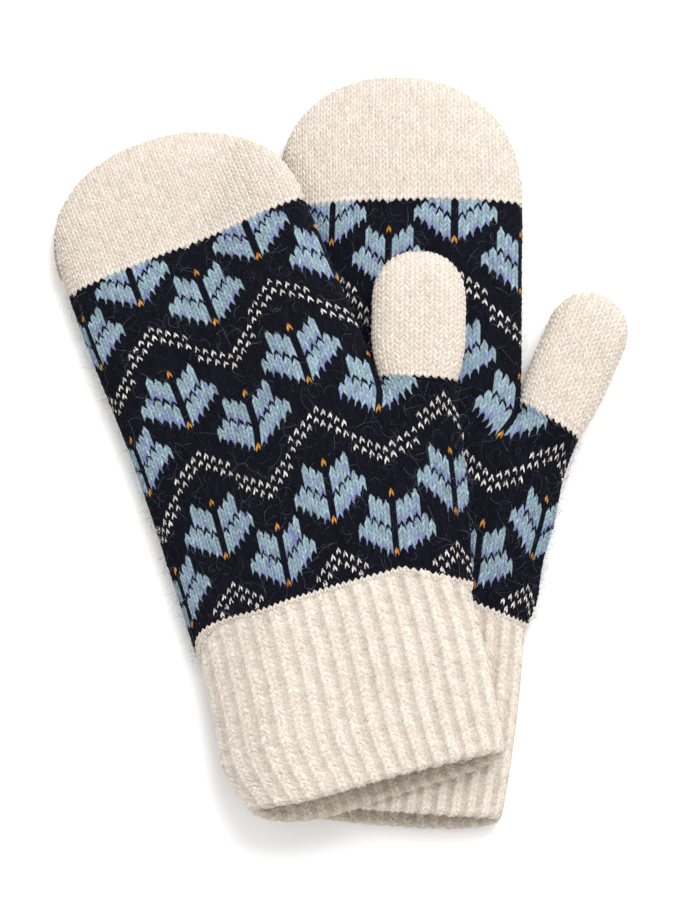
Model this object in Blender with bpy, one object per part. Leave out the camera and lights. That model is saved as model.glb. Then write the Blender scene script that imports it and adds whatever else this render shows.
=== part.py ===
"""A pair of lined knitted mittens lying flat, the left one partly on top of the right one.

Each mitten is an outer knit (jacquard hand, plain fingertip cap, thumb, ribbed cuff) round a
smaller lining. Its own frame has +Y from the wrist to the fingertips, +X to the thumb's side
and y = 0 where the cuff meets the hand. Each thumb turns about an upright axis through the
middle of its root, where a round navy base sits in a hollow of the same radius in the hand.
All sizes are in metres.
"""

import math
from dataclasses import dataclass

import bmesh
import bpy
from mathutils import Matrix, Vector

# Height of a flattened knit tube above and below its middle plane
TOP_HEIGHT = 0.0090
BOTTOM_HEIGHT = 0.0070
THUMB_TOP_HEIGHT = 0.0080
SIDE_POWER = 3.0
CROWN_POWER = 2.2
FLAT_FACTOR = 1.35

# Walls, as depths in from the outer surface: across the tube's width, and through its thickness
SHELL_OUTER = (0.0, 0.0)
SHELL_INNER = (0.0024, 0.0022)
FACING_OUTER = (0.0034, 0.0028)
FACING_INNER = (0.0050, 0.0044)
LINING_OUTER = (0.0066, 0.0032)
LINING_INNER = (0.0080, 0.0045)
THUMB_LINING_OUTER = (0.0046, 0.0032)
THUMB_LINING_INNER = (0.0059, 0.0045)

# Outline of the left mitten; the right one's lengths are stretched a little
CROTCH_Y = 0.0650
CROTCH_ROUND = 0.0020
CAP_Y = 0.1380
DOME_Y = 0.1440
DOME_HEIGHT = 0.0410
DOME_POWER = 2.3
HEM_LENGTH = 0.0045
SEAM_HALF_LENGTH = 0.0008
SEAM_RADIUS = 0.0010
SEAM_DEPTH = 0.0043
SEAM_SWEEP = math.radians(58)
LINING_START = -0.0006
LINING_SEAM_Y = (-0.0026, -0.0009)
FACING_END = -0.0030

GAP = 0.0003
HAND_START = SEAM_HALF_LENGTH + GAP

THUMB_SPREAD = 1.10
THUMB_DOME_POWER = 2.2
BASE_EDGE = 0.92
# The hand's corner outside the thumb, from its pivot, in socket radii
SHOULDER_ACROSS = 0.80
SHOULDER_DOWN = 0.55
SOCKET_GAP = 0.0004
REST_GAP = 0.0006

# How the upper mitten's fabric climbs onto the lower one
RAMP_OUTSIDE = 0.0300
RAMP_INSIDE = 0.0100

RING_POINTS = 28
THUMB_POINTS = 22
DOME_STEPS = 6
HAND_STEPS = 4
CUFF_STEPS = 5
SOCKET_SIDES = 64

NAVY = (0.011, 0.012, 0.030, 1.0)
IVORY = (0.80, 0.69, 0.57, 1.0)
LINING = (0.72, 0.62, 0.51, 1.0)
THREAD = (0.76, 0.66, 0.55, 1.0)


@dataclass
class Mitten:
    """What differs between the two mittens. origin and turn place the wrist's middle; wrist and
    mouth are the left and right edges at the cuff's top and at its open end."""

    name: str
    origin: tuple
    turn: float
    stretch: float
    half_width: float
    wrist: tuple
    mouth: tuple
    cuff_length: float
    thumb_pivot: tuple
    thumb_turn: float
    thumb_half_width: float
    thumb_length: float
    on_top: bool

    @property
    def socket_radius(self):
        return self.thumb_half_width / BASE_EDGE

    @property
    def frame(self):
        turn = Matrix.Rotation(math.radians(self.turn), 4, "Z")
        return Matrix.Translation((*self.origin, 0)) @ turn

    @property
    def thumb_frame(self):
        turn = Matrix.Rotation(-math.radians(self.thumb_turn), 4, "Z")
        return self.frame @ Matrix.Translation((*self.thumb_pivot, 0)) @ turn


RIGHT = Mitten(
    name="right",
    origin=(0.0159, -0.0531),
    turn=-2.0,
    stretch=1.064,
    half_width=0.0462,
    wrist=(-0.0440, 0.0545),
    mouth=(-0.0450, 0.0490),
    cuff_length=0.0840,
    thumb_pivot=(0.0607, 0.0640),
    thumb_turn=22.0,
    thumb_half_width=0.0142,
    thumb_length=0.0510,
    on_top=False,
)
LEFT = Mitten(
    name="left",
    origin=(-0.0133, -0.0555),
    turn=19.0,
    stretch=1.0,
    half_width=0.0487,
    wrist=(-0.0465, 0.0580),
    mouth=(-0.0500, 0.0570),
    cuff_length=0.0760,
    thumb_pivot=(0.0670, 0.0600),
    thumb_turn=18.0,
    thumb_half_width=0.0158,
    thumb_length=0.0500,
    on_top=True,
)


def smoothstep(t):
    t = min(max(t, 0.0), 1.0)
    return t * t * (3 - 2 * t)


def spread(start, end, steps):
    """Evenly spaced values from start to end, both included."""
    return [start + (end - start) * step / steps for step in range(steps + 1)]


def signed_power(value, power):
    return math.copysign(abs(value) ** power, value)


def lift(x, y):
    """How high the upper mitten's underside lies at a place, over the table or the lower mitten."""
    local = RIGHT.frame.inverted() @ Vector((x, y, 0))
    beyond = max(0.0, local.y / RIGHT.stretch - DOME_Y) / DOME_HEIGHT
    across = abs(local.x) / RIGHT.half_width
    reach = (across**DOME_POWER + beyond**DOME_POWER) ** (1 / DOME_POWER)
    inside = (1 - reach) * RIGHT.half_width
    ramp = smoothstep((inside + RAMP_OUTSIDE) / (RAMP_OUTSIDE + RAMP_INSIDE))
    return ramp * (TOP_HEIGHT + BOTTOM_HEIGHT + REST_GAP)


def placed(mitten, frame, point):
    """A point of a mitten's own frame, set down on the table or on the other mitten."""
    world = frame @ Vector(point)
    world.z += BOTTOM_HEIGHT
    if mitten.on_top:
        world.z += lift(world.x, world.y)
    return world


def ring(left, right, y_at, heights, depth, count):
    """Points round a flattened tube. y_at gives y for an x; depth is (across, through)."""
    across, through = depth
    middle, half = (left + right) / 2, (right - left) / 2 - across
    top, bottom = (height - through for height in heights)
    points = []
    for index in range(count):
        angle = 2 * math.pi * index / count
        x = half * signed_power(math.cos(angle), 2 / SIDE_POWER)
        rise = abs(math.sin(angle)) ** (2 / CROWN_POWER)
        z = top * rise if math.sin(angle) > 0 else -bottom * min(1, FLAT_FACTOR * rise)
        points.append((middle + x, y_at(x), z))
    return points


def level(y):
    return lambda x: y


def dome_rings(left, right, start, height, heights, depth, count, power):
    """Rings that close a tube in a rounded end. The end is as deep in from the tip as across."""
    middle, half = (left + right) / 2, (right - left) / 2 - depth[0]
    top, bottom = (value - depth[1] for value in heights)
    rings = []
    for step in range(DOME_STEPS):
        angle = math.pi / 2 * (step / DOME_STEPS) ** 0.85
        y = start + (height - depth[0]) * math.sin(angle) ** (2 / power)
        width = half * math.cos(angle) ** (2 / power)
        thin = math.cos(angle) ** 0.7
        rings.append(
            ring(middle - width, middle + width, level(y), (top * thin, bottom * thin), (0, 0), count)
        )
    tip = (middle, start + height - depth[0], (top - bottom) * 0.1)
    return rings, tip


def make_object(name, mesh, colour):
    """Links the mesh as a named part with its own material."""
    obj = bpy.data.objects.new(name, mesh)
    bpy.context.scene.collection.objects.link(obj)
    material = bpy.data.materials.new(name)
    material.use_nodes = True
    shader = material.node_tree.nodes["Principled BSDF"]
    shader.inputs["Base Color"].default_value = colour
    shader.inputs["Roughness"].default_value = 0.95
    shader.inputs["Metallic"].default_value = 0.0
    mesh.materials.append(material)
    return obj


def shell(mitten, frame, name, outer, inner, colour):
    """A knit tube with a wall. outer and inner are (rings, tip); a tip of None leaves it open."""
    bm = bmesh.new()
    layers = []
    for rings, tip in (outer, inner):
        verts = [[bm.verts.new(placed(mitten, frame, p)) for p in points] for points in rings]
        point = bm.verts.new(placed(mitten, frame, tip)) if tip else None
        layers.append((verts, point))
    for verts, point in layers:
        for near, far in zip(verts, verts[1:]):
            bridge(bm, near, far)
        if point:
            last = verts[-1]
            for index, vert in enumerate(last):
                bm.faces.new((vert, last[(index + 1) % len(last)], point))
    bridge(bm, layers[0][0][0], layers[1][0][0])
    if outer[1] is None:
        bridge(bm, layers[0][0][-1], layers[1][0][-1])
    bmesh.ops.recalc_face_normals(bm, faces=bm.faces)
    mesh = bpy.data.meshes.new(f"{mitten.name}_{name}")
    bm.to_mesh(mesh)
    bm.free()
    return make_object(f"{mitten.name}_{name}", mesh, colour)


def bridge(bm, near, far):
    for index in range(len(near)):
        after = (index + 1) % len(near)
        bm.faces.new((near[index], near[after], far[after], far[index]))


def edges_at(mitten, y):
    """The hand's left and right edge at a height y, before the thumb's socket is cut."""
    crotch = CROTCH_Y * mitten.stretch
    pivot_x, pivot_y = mitten.thumb_pivot
    socket = mitten.socket_radius
    rise = smoothstep(y / crotch)
    left = mitten.wrist[0] + (-mitten.half_width - mitten.wrist[0]) * rise
    shoulder_y = pivot_y - SHOULDER_DOWN * socket
    shoulder_x = pivot_x + SHOULDER_ACROSS * socket
    if y <= shoulder_y:
        right = mitten.wrist[1] + (shoulder_x - mitten.wrist[1]) * max(0.0, y / shoulder_y)
    else:
        share = min(1.0, (y - shoulder_y) / (crotch + CROTCH_ROUND - shoulder_y))
        right = shoulder_x + (mitten.half_width - shoulder_x) * share
    return left, right


def hand_stations(mitten, start):
    """Heights of the rings from the wrist to the fingertip cap."""
    crotch = CROTCH_Y * mitten.stretch
    shoulder = mitten.thumb_pivot[1] - SHOULDER_DOWN * mitten.socket_radius
    cap = CAP_Y * mitten.stretch
    low = spread(start, shoulder, HAND_STEPS)
    middle = (shoulder + crotch + CROTCH_ROUND) / 2
    return [*low, middle, *spread(crotch + CROTCH_ROUND, cap - GAP / 2, HAND_STEPS)]


def socket_cutter(mitten):
    """An upright cylinder that hollows the hand where the thumb's round base sits."""
    bm = bmesh.new()
    bmesh.ops.create_cone(
        bm,
        cap_ends=True,
        segments=SOCKET_SIDES,
        radius1=mitten.socket_radius + SOCKET_GAP,
        radius2=mitten.socket_radius + SOCKET_GAP,
        depth=0.2,
        matrix=mitten.thumb_frame,
    )
    mesh = bpy.data.meshes.new(f"{mitten.name}_socket_cutter")
    bm.to_mesh(mesh)
    bm.free()
    cutter = bpy.data.objects.new(mesh.name, mesh)
    bpy.context.scene.collection.objects.link(cutter)
    cutter.hide_render = True
    cutter.display_type = "WIRE"
    return cutter


def cut(obj, cutter):
    modifier = obj.modifiers.new("thumb_socket", "BOOLEAN")
    modifier.operation = "DIFFERENCE"
    modifier.solver = "EXACT"
    modifier.object = cutter


def make_hand(mitten, cutter):
    """The jacquard hand: a wide tube from the wrist, narrower above the thumb."""
    heights = (TOP_HEIGHT, BOTTOM_HEIGHT)

    def layer(depth):
        rings = []
        for y in hand_stations(mitten, HAND_START):
            left, right = edges_at(mitten, y)
            rings.append(ring(left, right, level(y), heights, depth, RING_POINTS))
        return rings, None

    obj = shell(mitten, mitten.frame, "hand_shell", layer(SHELL_OUTER), layer(SHELL_INNER), NAVY)
    cut(obj, cutter)


def make_cap(mitten):
    """The plain fingertip cap: a short straight stretch, then a dome."""
    heights = (TOP_HEIGHT, BOTTOM_HEIGHT)
    half = mitten.half_width
    start = DOME_Y * mitten.stretch
    height = DOME_HEIGHT * mitten.stretch

    def layer(depth):
        base_y = level(CAP_Y * mitten.stretch + GAP / 2)
        base = ring(-half, half, base_y, heights, depth, RING_POINTS)
        dome, tip = dome_rings(-half, half, start, height, heights, depth, RING_POINTS, DOME_POWER)
        return [base, *dome], tip

    shell(mitten, mitten.frame, "fingertip_cap", layer(SHELL_OUTER), layer(SHELL_INNER), IVORY)


def make_fingertip_seam(mitten):
    """The closing seam, a cord of linked stitches just inside the cap's rim."""
    curve = bpy.data.curves.new(f"{mitten.name}_fingertip_seam", "CURVE")
    curve.dimensions = "3D"
    curve.bevel_depth = SEAM_RADIUS
    curve.bevel_resolution = 1
    curve.use_fill_caps = True
    steps = 20
    spline = curve.splines.new("POLY")
    spline.points.add(steps)
    width = mitten.half_width - SEAM_DEPTH
    height = DOME_HEIGHT * mitten.stretch - SEAM_DEPTH
    for index in range(steps + 1):
        angle = SEAM_SWEEP * (2 * index / steps - 1)
        x = width * signed_power(math.sin(angle), 2 / DOME_POWER)
        y = DOME_Y * mitten.stretch + height * math.cos(angle) ** (2 / DOME_POWER)
        spline.points[index].co = (*placed(mitten, mitten.frame, (x, y, 0.0005)), 1)
    make_object(curve.name, curve, THREAD)


def make_hand_lining(mitten, cutter):
    """The lining's hand: one closed sack from the wrist to short of the fingertips."""
    heights = (TOP_HEIGHT, BOTTOM_HEIGHT)
    half = mitten.half_width
    start = DOME_Y * mitten.stretch
    height = DOME_HEIGHT * mitten.stretch

    def layer(depth):
        rings = []
        for y in [LINING_START, *hand_stations(mitten, HAND_START)]:
            left, right = edges_at(mitten, max(0.0, y))
            rings.append(ring(left, right, level(y), heights, depth, RING_POINTS))
        dome, tip = dome_rings(-half, half, start, height, heights, depth, RING_POINTS, DOME_POWER)
        return rings + dome, tip

    obj = shell(
        mitten, mitten.frame, "hand_lining", layer(LINING_OUTER), layer(LINING_INNER), LINING
    )
    cut(obj, cutter)


def cuff_edges(mitten, y):
    """The cuff's left and right edge at a height y below the wrist."""
    share = min(1.0, max(0.0, -y / mitten.cuff_length))
    left, right = (a + (b - a) * share for a, b in zip(mitten.wrist, mitten.mouth))
    return left, right


def make_band(mitten, name, stations, outer_depth, inner_depth, colour):
    """An open tube of the cuff's outline between the given heights."""

    def layer(depth):
        rings = []
        for y in stations:
            left, right = cuff_edges(mitten, y)
            rings.append(
                ring(left, right, level(y), (TOP_HEIGHT, BOTTOM_HEIGHT), depth, RING_POINTS)
            )
        return rings, None

    shell(mitten, mitten.frame, name, layer(outer_depth), layer(inner_depth), colour)


def make_cuff(mitten):
    """The folded rib: its outer layer, the hem at the fold, the inner layer, and two seams."""
    mouth = -mitten.cuff_length
    hem_top = mouth + HEM_LENGTH
    rib_top = -SEAM_HALF_LENGTH - GAP
    facing = spread(hem_top + GAP, FACING_END, CUFF_STEPS)
    rib = [*facing, rib_top]
    seam = [-SEAM_HALF_LENGTH, SEAM_HALF_LENGTH]
    make_band(mitten, "cuff_rib", rib, SHELL_OUTER, SHELL_INNER, IVORY)
    make_band(mitten, "cuff_facing", facing, FACING_OUTER, FACING_INNER, IVORY)
    make_band(mitten, "cuff_hem", [mouth, hem_top], SHELL_OUTER, FACING_INNER, IVORY)
    make_band(mitten, "wrist_seam", seam, (0.0003, 0.0003), SHELL_INNER, THREAD)
    make_band(mitten, "lining_seam", LINING_SEAM_Y, FACING_OUTER, LINING_INNER, THREAD)


def make_thumb(mitten):
    """The thumb, in a frame with its pivot at the origin and +Y to the thumb's tip."""
    heights = (THUMB_TOP_HEIGHT, BOTTOM_HEIGHT)
    radius = mitten.socket_radius
    half = mitten.thumb_half_width
    wide = half * THUMB_SPREAD
    dome_start = mitten.thumb_length - wide

    def arc(offset):
        return lambda x: offset - math.sqrt(max(0.0, radius**2 - x**2))

    def base_layer(depth):
        bottom = ring(-half, half, arc(0), heights, depth, THUMB_POINTS)
        middle = [(x, y / 2, z) for x, y, z in bottom]
        top = ring(-half, half, level(-GAP / 2), heights, depth, THUMB_POINTS)
        return [bottom, middle, top], None

    def straight_rings(start, depth):
        rings = []
        for share in (0, 0.5):
            y = start + (dome_start - start) * share
            width = half + (wide - half) * smoothstep(share)
            rings.append(ring(-width, width, level(y), heights, depth, THUMB_POINTS))
        return rings

    def closed_layer(start, depth):
        rings = straight_rings(start, depth)
        dome, tip = dome_rings(
            -wide, wide, dome_start, wide, heights, depth, THUMB_POINTS, THUMB_DOME_POWER
        )
        return rings + dome, tip

    def cover_layer(depth):
        return closed_layer(GAP / 2, depth)

    def lining_layer(depth):
        bottom = ring(-half, half, arc(0), heights, depth, THUMB_POINTS)
        rings, tip = closed_layer(0.0, depth)
        return [bottom, *rings], tip

    frame = mitten.thumb_frame
    shell(mitten, frame, "thumb_base", base_layer(SHELL_OUTER), base_layer(SHELL_INNER), NAVY)
    shell(mitten, frame, "thumb_cover", cover_layer(SHELL_OUTER), cover_layer(SHELL_INNER), IVORY)
    shell(
        mitten,
        frame,
        "thumb_lining",
        lining_layer(THUMB_LINING_OUTER),
        lining_layer(THUMB_LINING_INNER),
        LINING,
    )


def make_mitten(mitten):
    cutter = socket_cutter(mitten)
    make_hand(mitten, cutter)
    make_cap(mitten)
    make_fingertip_seam(mitten)
    make_hand_lining(mitten, cutter)
    make_cuff(mitten)
    make_thumb(mitten)


def main():
    for obj in list(bpy.data.objects):
        bpy.data.objects.remove(obj)
    make_mitten(RIGHT)
    make_mitten(LEFT)


main()
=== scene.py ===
"""Looks for the pair of lined knitted mittens: every stitch is a pair of raised yarn legs.

Each mitten has its own frame, as in the CAD: +Y from the wrist to the fingertips, +X to the
thumb's side, y = 0 at the wrist. A place on the knit is a column and a row. Columns count from
the left fold, and rows count from the fingertip cap's edge down to the cuff.
All sizes are in metres.
"""

import math
from dataclasses import dataclass

import bpy
import numpy as np
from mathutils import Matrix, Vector


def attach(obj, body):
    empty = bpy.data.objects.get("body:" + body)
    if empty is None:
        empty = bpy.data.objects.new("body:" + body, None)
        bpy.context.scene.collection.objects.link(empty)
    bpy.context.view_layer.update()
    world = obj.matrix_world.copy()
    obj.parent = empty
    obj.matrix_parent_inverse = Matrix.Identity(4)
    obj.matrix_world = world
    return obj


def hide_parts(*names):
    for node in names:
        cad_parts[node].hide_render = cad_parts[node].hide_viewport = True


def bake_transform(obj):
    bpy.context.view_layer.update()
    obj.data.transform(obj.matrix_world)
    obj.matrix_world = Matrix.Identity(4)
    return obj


# Cross-section of a flattened knit tube, and how the upper mitten lies on the lower one
TOP_HEIGHT = 0.0088
BOTTOM_HEIGHT = 0.0066
MIDDLE_HEIGHT = 0.0070
SIDE_POWER = 3.0
CROWN_POWER = 2.2
FLAT_FACTOR = 1.35
DOME_POWER = 2.2
RIPPLE_HEIGHT = 0.00028
LIFT_HEIGHT = 0.0166
RAMP_OUTSIDE = 0.0300
RAMP_INSIDE = 0.0100
LOWER_DOME_Y = 0.1532
LOWER_DOME_HEIGHT = 0.0436
LOWER_HALF_WIDTH = 0.0462
LOWER_DOME_POWER = 2.3

# The knit: columns and rows of each part. A leg of a stitch is ACROSS by ALONG cells.
HAND_COLUMNS = 40
GUSSET_COLUMNS = 12
HAND_SHARE = HAND_COLUMNS / (HAND_COLUMNS + GUSSET_COLUMNS)
HAND_ROWS = 74
TUCKED_ROWS = 3
CROTCH_ROW = 38
CROTCH_ROWS = 7
THUMB_ROWS = 27
CAP_ROWS = 26
ACROSS = 3
ALONG = 4
CUFF_RIBS = 17
PURL_CELLS = 3
RIB_CELLS = 2 * ACROSS + PURL_CELLS
CUFF_ROWS = 35
HEM_ROWS = 4
FACING_ROWS = 16
FACING_ROW_LENGTH = 0.0021

# Relief: how far the middle of a stitch leans (in rows), and how high its legs stand
LEG_SLANT = 1.15
RIB_SLANT = 0.8
SEAM_FLATTENING = 0.45
LEG_HEIGHT = 0.00050
PLAIN_HEIGHT = 0.00060
LINING_HEIGHT = 0.00020
PURL_LEG = 0.35
RIB_HEIGHT = 0.00052
RIB_DEPTH = 0.00046
RIB_LEG_HEIGHT = 0.00028
RIB_ROUGHNESS = 0.00013
JITTER = 0.00008
SMALLEST_CELL = 1e-10

# Ends and edges. A tube overruns its rounded end a little, so that its last rows close it.
THUMB_OVERRUN = 0.004
THUMB_DOME = 1.05
THUMB_GROWTH = 0.6
LINING_DEPTH = 0.0026
CAP_OVERRUN = 0.002
CAP_LEAN = 0.0016
GUSSET_DRIFT = 0.08
TUCK = 0.0012
EDGE_ROLL = 0.0003
CUFF_START = 0.0002
HEM_THICKNESS = 0.0042

# Colour: how often yarns mix at their edges, and the painted shade that darkens the cuff's hem and
# inside, where little light reaches
SPREAD_CHANCE = 0.45
COVER_CHANCE = 0.13
INSIDE_PAINTED_SHADE = (0.80, 0.775, 0.73)

# How wide a tube is for its thickness, which sets how its columns spread round the folds
TRUNK_SLIMNESS = 7.0
HAND_SLIMNESS = 5.5
THUMB_SLIMNESS = 1.8

# Loose fibres
FIBRE_RADIUS = 0.000034
FIBRE_CURL = 2.6
FIBRE_FLATNESS = 0.7
FLOOR_GAP = 0.0001
LONG_STEPS = 6
LONG_LENGTH = 0.0090
LONG_RISE = 0.0036
SHORT_STEPS = 3
SHORT_LENGTH = 0.0028
SHORT_RISE = 0.0009
HAND_FIBRES = 3200
GUSSET_FIBRES = 800
PLAIN_FIBRES = 7000
THUMB_FIBRES = 1200

# Light, floor and camera
WORLD_LIGHT = 1.10
KEY_LIGHT = 15.5
KEY_SIZE = 0.8
KEY_PLACE = Vector((0.35, 0.75, 1.1))
FLOOR_SIZE = 6
FLOOR_LEVEL = -0.0004
FLOOR_COLOUR = (0.86, 0.85, 0.84, 1)
CAMERA_LENS = 120
CAMERA_SENSOR = 36
CAMERA_ELEVATION = 82
CAMERA_DISTANCE = 1.14
CAMERA_TARGET = Vector((-0.0030, -0.00265, 0.012))

# The jacquard chart. Leaves stand in two sets, half a repeat apart in both directions.
REPEAT_COLUMNS = 18
REPEAT_ROWS = 27
FIRST_VEIN = 12
LEAF_OFFSET = 9
ZIGZAG_ROW = 16
LEAF_ROW = 3


def linear(red, green, blue):
    """A colour in screen values from 0 to 255, as the linear values that a shader takes."""
    values = np.array([red, green, blue]) / 255
    return np.where(values <= 0.04045, values / 12.92, ((values + 0.055) / 1.055) ** 2.4)


NAVY, BLUE, LAVENDER, GOLD, WHITE, IVORY = range(6)
YARNS = np.array(
    [
        linear(7, 9, 21),
        linear(145, 168, 179),
        linear(131, 140, 180),
        linear(184, 126, 46),
        linear(198, 193, 186),
        linear(214, 203, 191),
    ]
)
YARN_SPREAD = np.array([0.30, 0.11, 0.12, 0.20, 0.16, 0.045])
# Painted shade: how much each yarn's colour is darkened in the grooves between the raised legs
PAINTED_GROOVE_SHADE = np.array([0.25, 0.40, 0.40, 0.35, 0.25, 0.26])
DARK_FIBRES = [linear(30, 32, 44), linear(112, 114, 126), linear(62, 64, 76)]
PALE_FIBRES = [YARNS[IVORY], linear(226, 214, 200)]
LINING_COLOUR = linear(225, 212, 195)
SEAM_COLOUR = linear(235, 222, 205)


@dataclass
class Mitten:
    """One mitten's outline, in its own frame.

    Edges are curves of (y, x) pairs, and lines are curves of (x, y) pairs. The cuff's edges start
    at the wrist (0) and end at the hem (1). cap_line and row_sag hold a value for the left fold
    and one for the right. row_sag lowers the pattern's rows, and column_drift moves its columns.
    """

    name: str
    origin: tuple
    turn: float
    on_top: bool
    left_edge: tuple
    right_edge: tuple
    gusset_edge: tuple
    cap_line: tuple
    cap_bulge: float
    row_sag: tuple
    column_drift: tuple
    dome_y: float
    dome_height: float
    wrist_line: tuple
    thumb_left: tuple
    thumb_right: tuple
    thumb_tip: tuple
    thumb_wide: float
    cuff_left: tuple
    cuff_right: tuple
    hem_line: tuple
    back_hem_drop: tuple
    seed: int


LEFT = Mitten(
    name="left",
    origin=(-0.0133, -0.0555),
    turn=19.0,
    on_top=True,
    left_edge=((-0.010, -0.0484), (0.065, -0.0478), (0.128, -0.0506), (0.145, -0.0507)),
    right_edge=((0.062, 0.0504), (0.090, 0.0488), (0.115, 0.0472), (0.145, 0.0454)),
    gusset_edge=(
        (-0.022, 0.0568),
        (-0.011, 0.0597),
        (0.008, 0.0655),
        (0.027, 0.0702),
        (0.040, 0.0727),
        (0.0545, 0.0766),
    ),
    cap_line=(0.1360, 0.1398),
    cap_bulge=0.0008,
    row_sag=(0.014, 0.002),
    column_drift=((0, 0), (0.075, -0.042), (0.3, -0.045), (0.525, -0.037), (0.75, -0.028), (1, 0)),
    dome_y=0.1440,
    dome_height=0.0413,
    wrist_line=(
        (-0.0474, -0.0102),
        (-0.0425, -0.0056),
        (-0.0121, -0.0036),
        (0.0069, -0.0040),
        (0.0259, -0.0054),
        (0.0449, -0.0078),
        (0.0520, -0.0120),
        (0.0565, -0.0190),
    ),
    thumb_left=(0.0506, 0.0652),
    thumb_right=(0.0766, 0.0545),
    thumb_tip=(0.0806, 0.1067),
    thumb_wide=0.0173,
    cuff_left=((0, -0.0474), (0.4, -0.0500), (0.8, -0.0522), (1, -0.0485)),
    cuff_right=((0, 0.0562), (0.3, 0.0552), (0.7, 0.0522), (1, 0.0494)),
    hem_line=((-0.0500, -0.0690), (-0.0300, -0.0728), (0.0069, -0.0753), (0.0500, -0.0795)),
    back_hem_drop=(0.0085, 0.0050),
    seed=3,
)
RIGHT = Mitten(
    name="right",
    origin=(0.0159, -0.0531),
    turn=-2.0,
    on_top=False,
    left_edge=((-0.010, -0.0440), (0.065, -0.0452), (0.145, -0.0452)),
    right_edge=((0.066, 0.0486), (0.090, 0.0482), (0.115, 0.0476), (0.148, 0.0470)),
    gusset_edge=(
        (-0.015, 0.0527),
        (-0.006, 0.0561),
        (0.009, 0.0581),
        (0.0244, 0.0620),
        (0.0455, 0.0662),
        (0.0571, 0.0702),
    ),
    cap_line=(0.1402, 0.1474),
    cap_bulge=0.0020,
    row_sag=(0.012, 0.012),
    column_drift=((0, 0), (0.1, -0.06), (0.3, -0.085), (0.525, -0.089), (0.75, -0.059), (1, 0)),
    dome_y=0.1532,
    dome_height=0.0440,
    wrist_line=((-0.0440, -0.0060), (0.0100, -0.0050), (0.0400, -0.0090), (0.0530, -0.0140)),
    thumb_left=(0.0485, 0.0702),
    thumb_right=(0.0702, 0.0571),
    thumb_tip=(0.0794, 0.1134),
    thumb_wide=0.0150,
    cuff_left=((0, -0.0440), (1, -0.0440)),
    cuff_right=((0, 0.0525), (0.3, 0.0515), (0.7, 0.0490), (1, 0.0460)),
    hem_line=((-0.0440, -0.0810), (0.0000, -0.0835), (0.0500, -0.0850)),
    back_hem_drop=(0.0050, 0.0050),
    seed=11,
)


def smoothstep(value):
    """0 at 0 and below, 1 at 1 and above, and smooth between."""
    value = np.clip(value, 0, 1)
    return value * value * (3 - 2 * value)


def along_curve(points, at):
    """Values at some positions of a smooth curve through (position, value) points."""
    places, values = np.array(points, float).T
    slopes = np.gradient(values, places)
    at = np.clip(at, places[0], places[-1])
    index = np.clip(np.searchsorted(places, at) - 1, 0, len(places) - 2)
    step = places[index + 1] - places[index]
    t = (at - places[index]) / step
    return (
        (2 * t**3 - 3 * t**2 + 1) * values[index]
        + (t**3 - 2 * t**2 + t) * step * slopes[index]
        + (3 * t**2 - 2 * t**3) * values[index + 1]
        + (t**3 - t**2) * step * slopes[index + 1]
    )


def crown(across):
    """How high a flattened tube stands at a place across it, from 0 at the folds to 1."""
    return np.clip(1 - np.abs(across) ** SIDE_POWER, 0, 1) ** (1 / CROWN_POWER)


def dome_limit(across):
    """How far a rounded end goes on at a place across it, as a share of its length."""
    return np.clip(1 - np.abs(across) ** DOME_POWER, 0, 1) ** (1 / DOME_POWER)


def dome_reach(across, beyond):
    """How near a place in a rounded end is to its outline, from 0 at the middle to 1 on it."""
    total = np.abs(across) ** DOME_POWER + beyond**DOME_POWER
    return np.minimum(total ** (1 / DOME_POWER), 1)


def fold_map(share, slimness):
    """The place across a face, from -1 to 1, at a share of the way round it between the folds."""
    places = np.sin(np.linspace(-math.pi / 2, math.pi / 2, 401))
    steps = np.hypot(np.diff(places), np.diff(crown(places)) / slimness)
    lengths = np.concatenate([[0], np.cumsum(steps)])
    return np.interp(share, lengths / lengths[-1], places)


def lift(x, y):
    """How high the upper mitten lies at a place in the row frame, as in the CAD."""
    turn = math.radians(RIGHT.turn)
    along_x, along_y = x - RIGHT.origin[0], y - RIGHT.origin[1]
    local_x = along_x * math.cos(turn) + along_y * math.sin(turn)
    local_y = -along_x * math.sin(turn) + along_y * math.cos(turn)
    beyond = np.maximum(0, local_y - LOWER_DOME_Y) / LOWER_DOME_HEIGHT
    across = np.abs(local_x) / LOWER_HALF_WIDTH
    reach = (across**LOWER_DOME_POWER + beyond**LOWER_DOME_POWER) ** (1 / LOWER_DOME_POWER)
    inside = (1 - reach) * LOWER_HALF_WIDTH
    return smoothstep((inside + RAMP_OUTSIDE) / (RAMP_OUTSIDE + RAMP_INSIDE)) * LIFT_HEIGHT


def settle(mitten, x, y, z):
    """Points of a mitten's own frame, set down on the table or on the other mitten."""
    turn = math.radians(mitten.turn)
    world_x = mitten.origin[0] + x * math.cos(turn) - y * math.sin(turn)
    world_y = mitten.origin[1] + x * math.sin(turn) + y * math.cos(turn)
    world_z = z + MIDDLE_HEIGHT
    if mitten.on_top:
        world_z = world_z + lift(world_x, world_y)
    return np.stack([world_x, world_y, world_z], axis=-1)


def height(rise, side, depth=0.0):
    """Height over the middle plane of the front (side 1) or back (side -1) at a crown value."""
    if side > 0:
        return (TOP_HEIGHT - depth) * rise
    return -(BOTTOM_HEIGHT - depth) * np.minimum(1, FLAT_FACTOR * rise)


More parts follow.
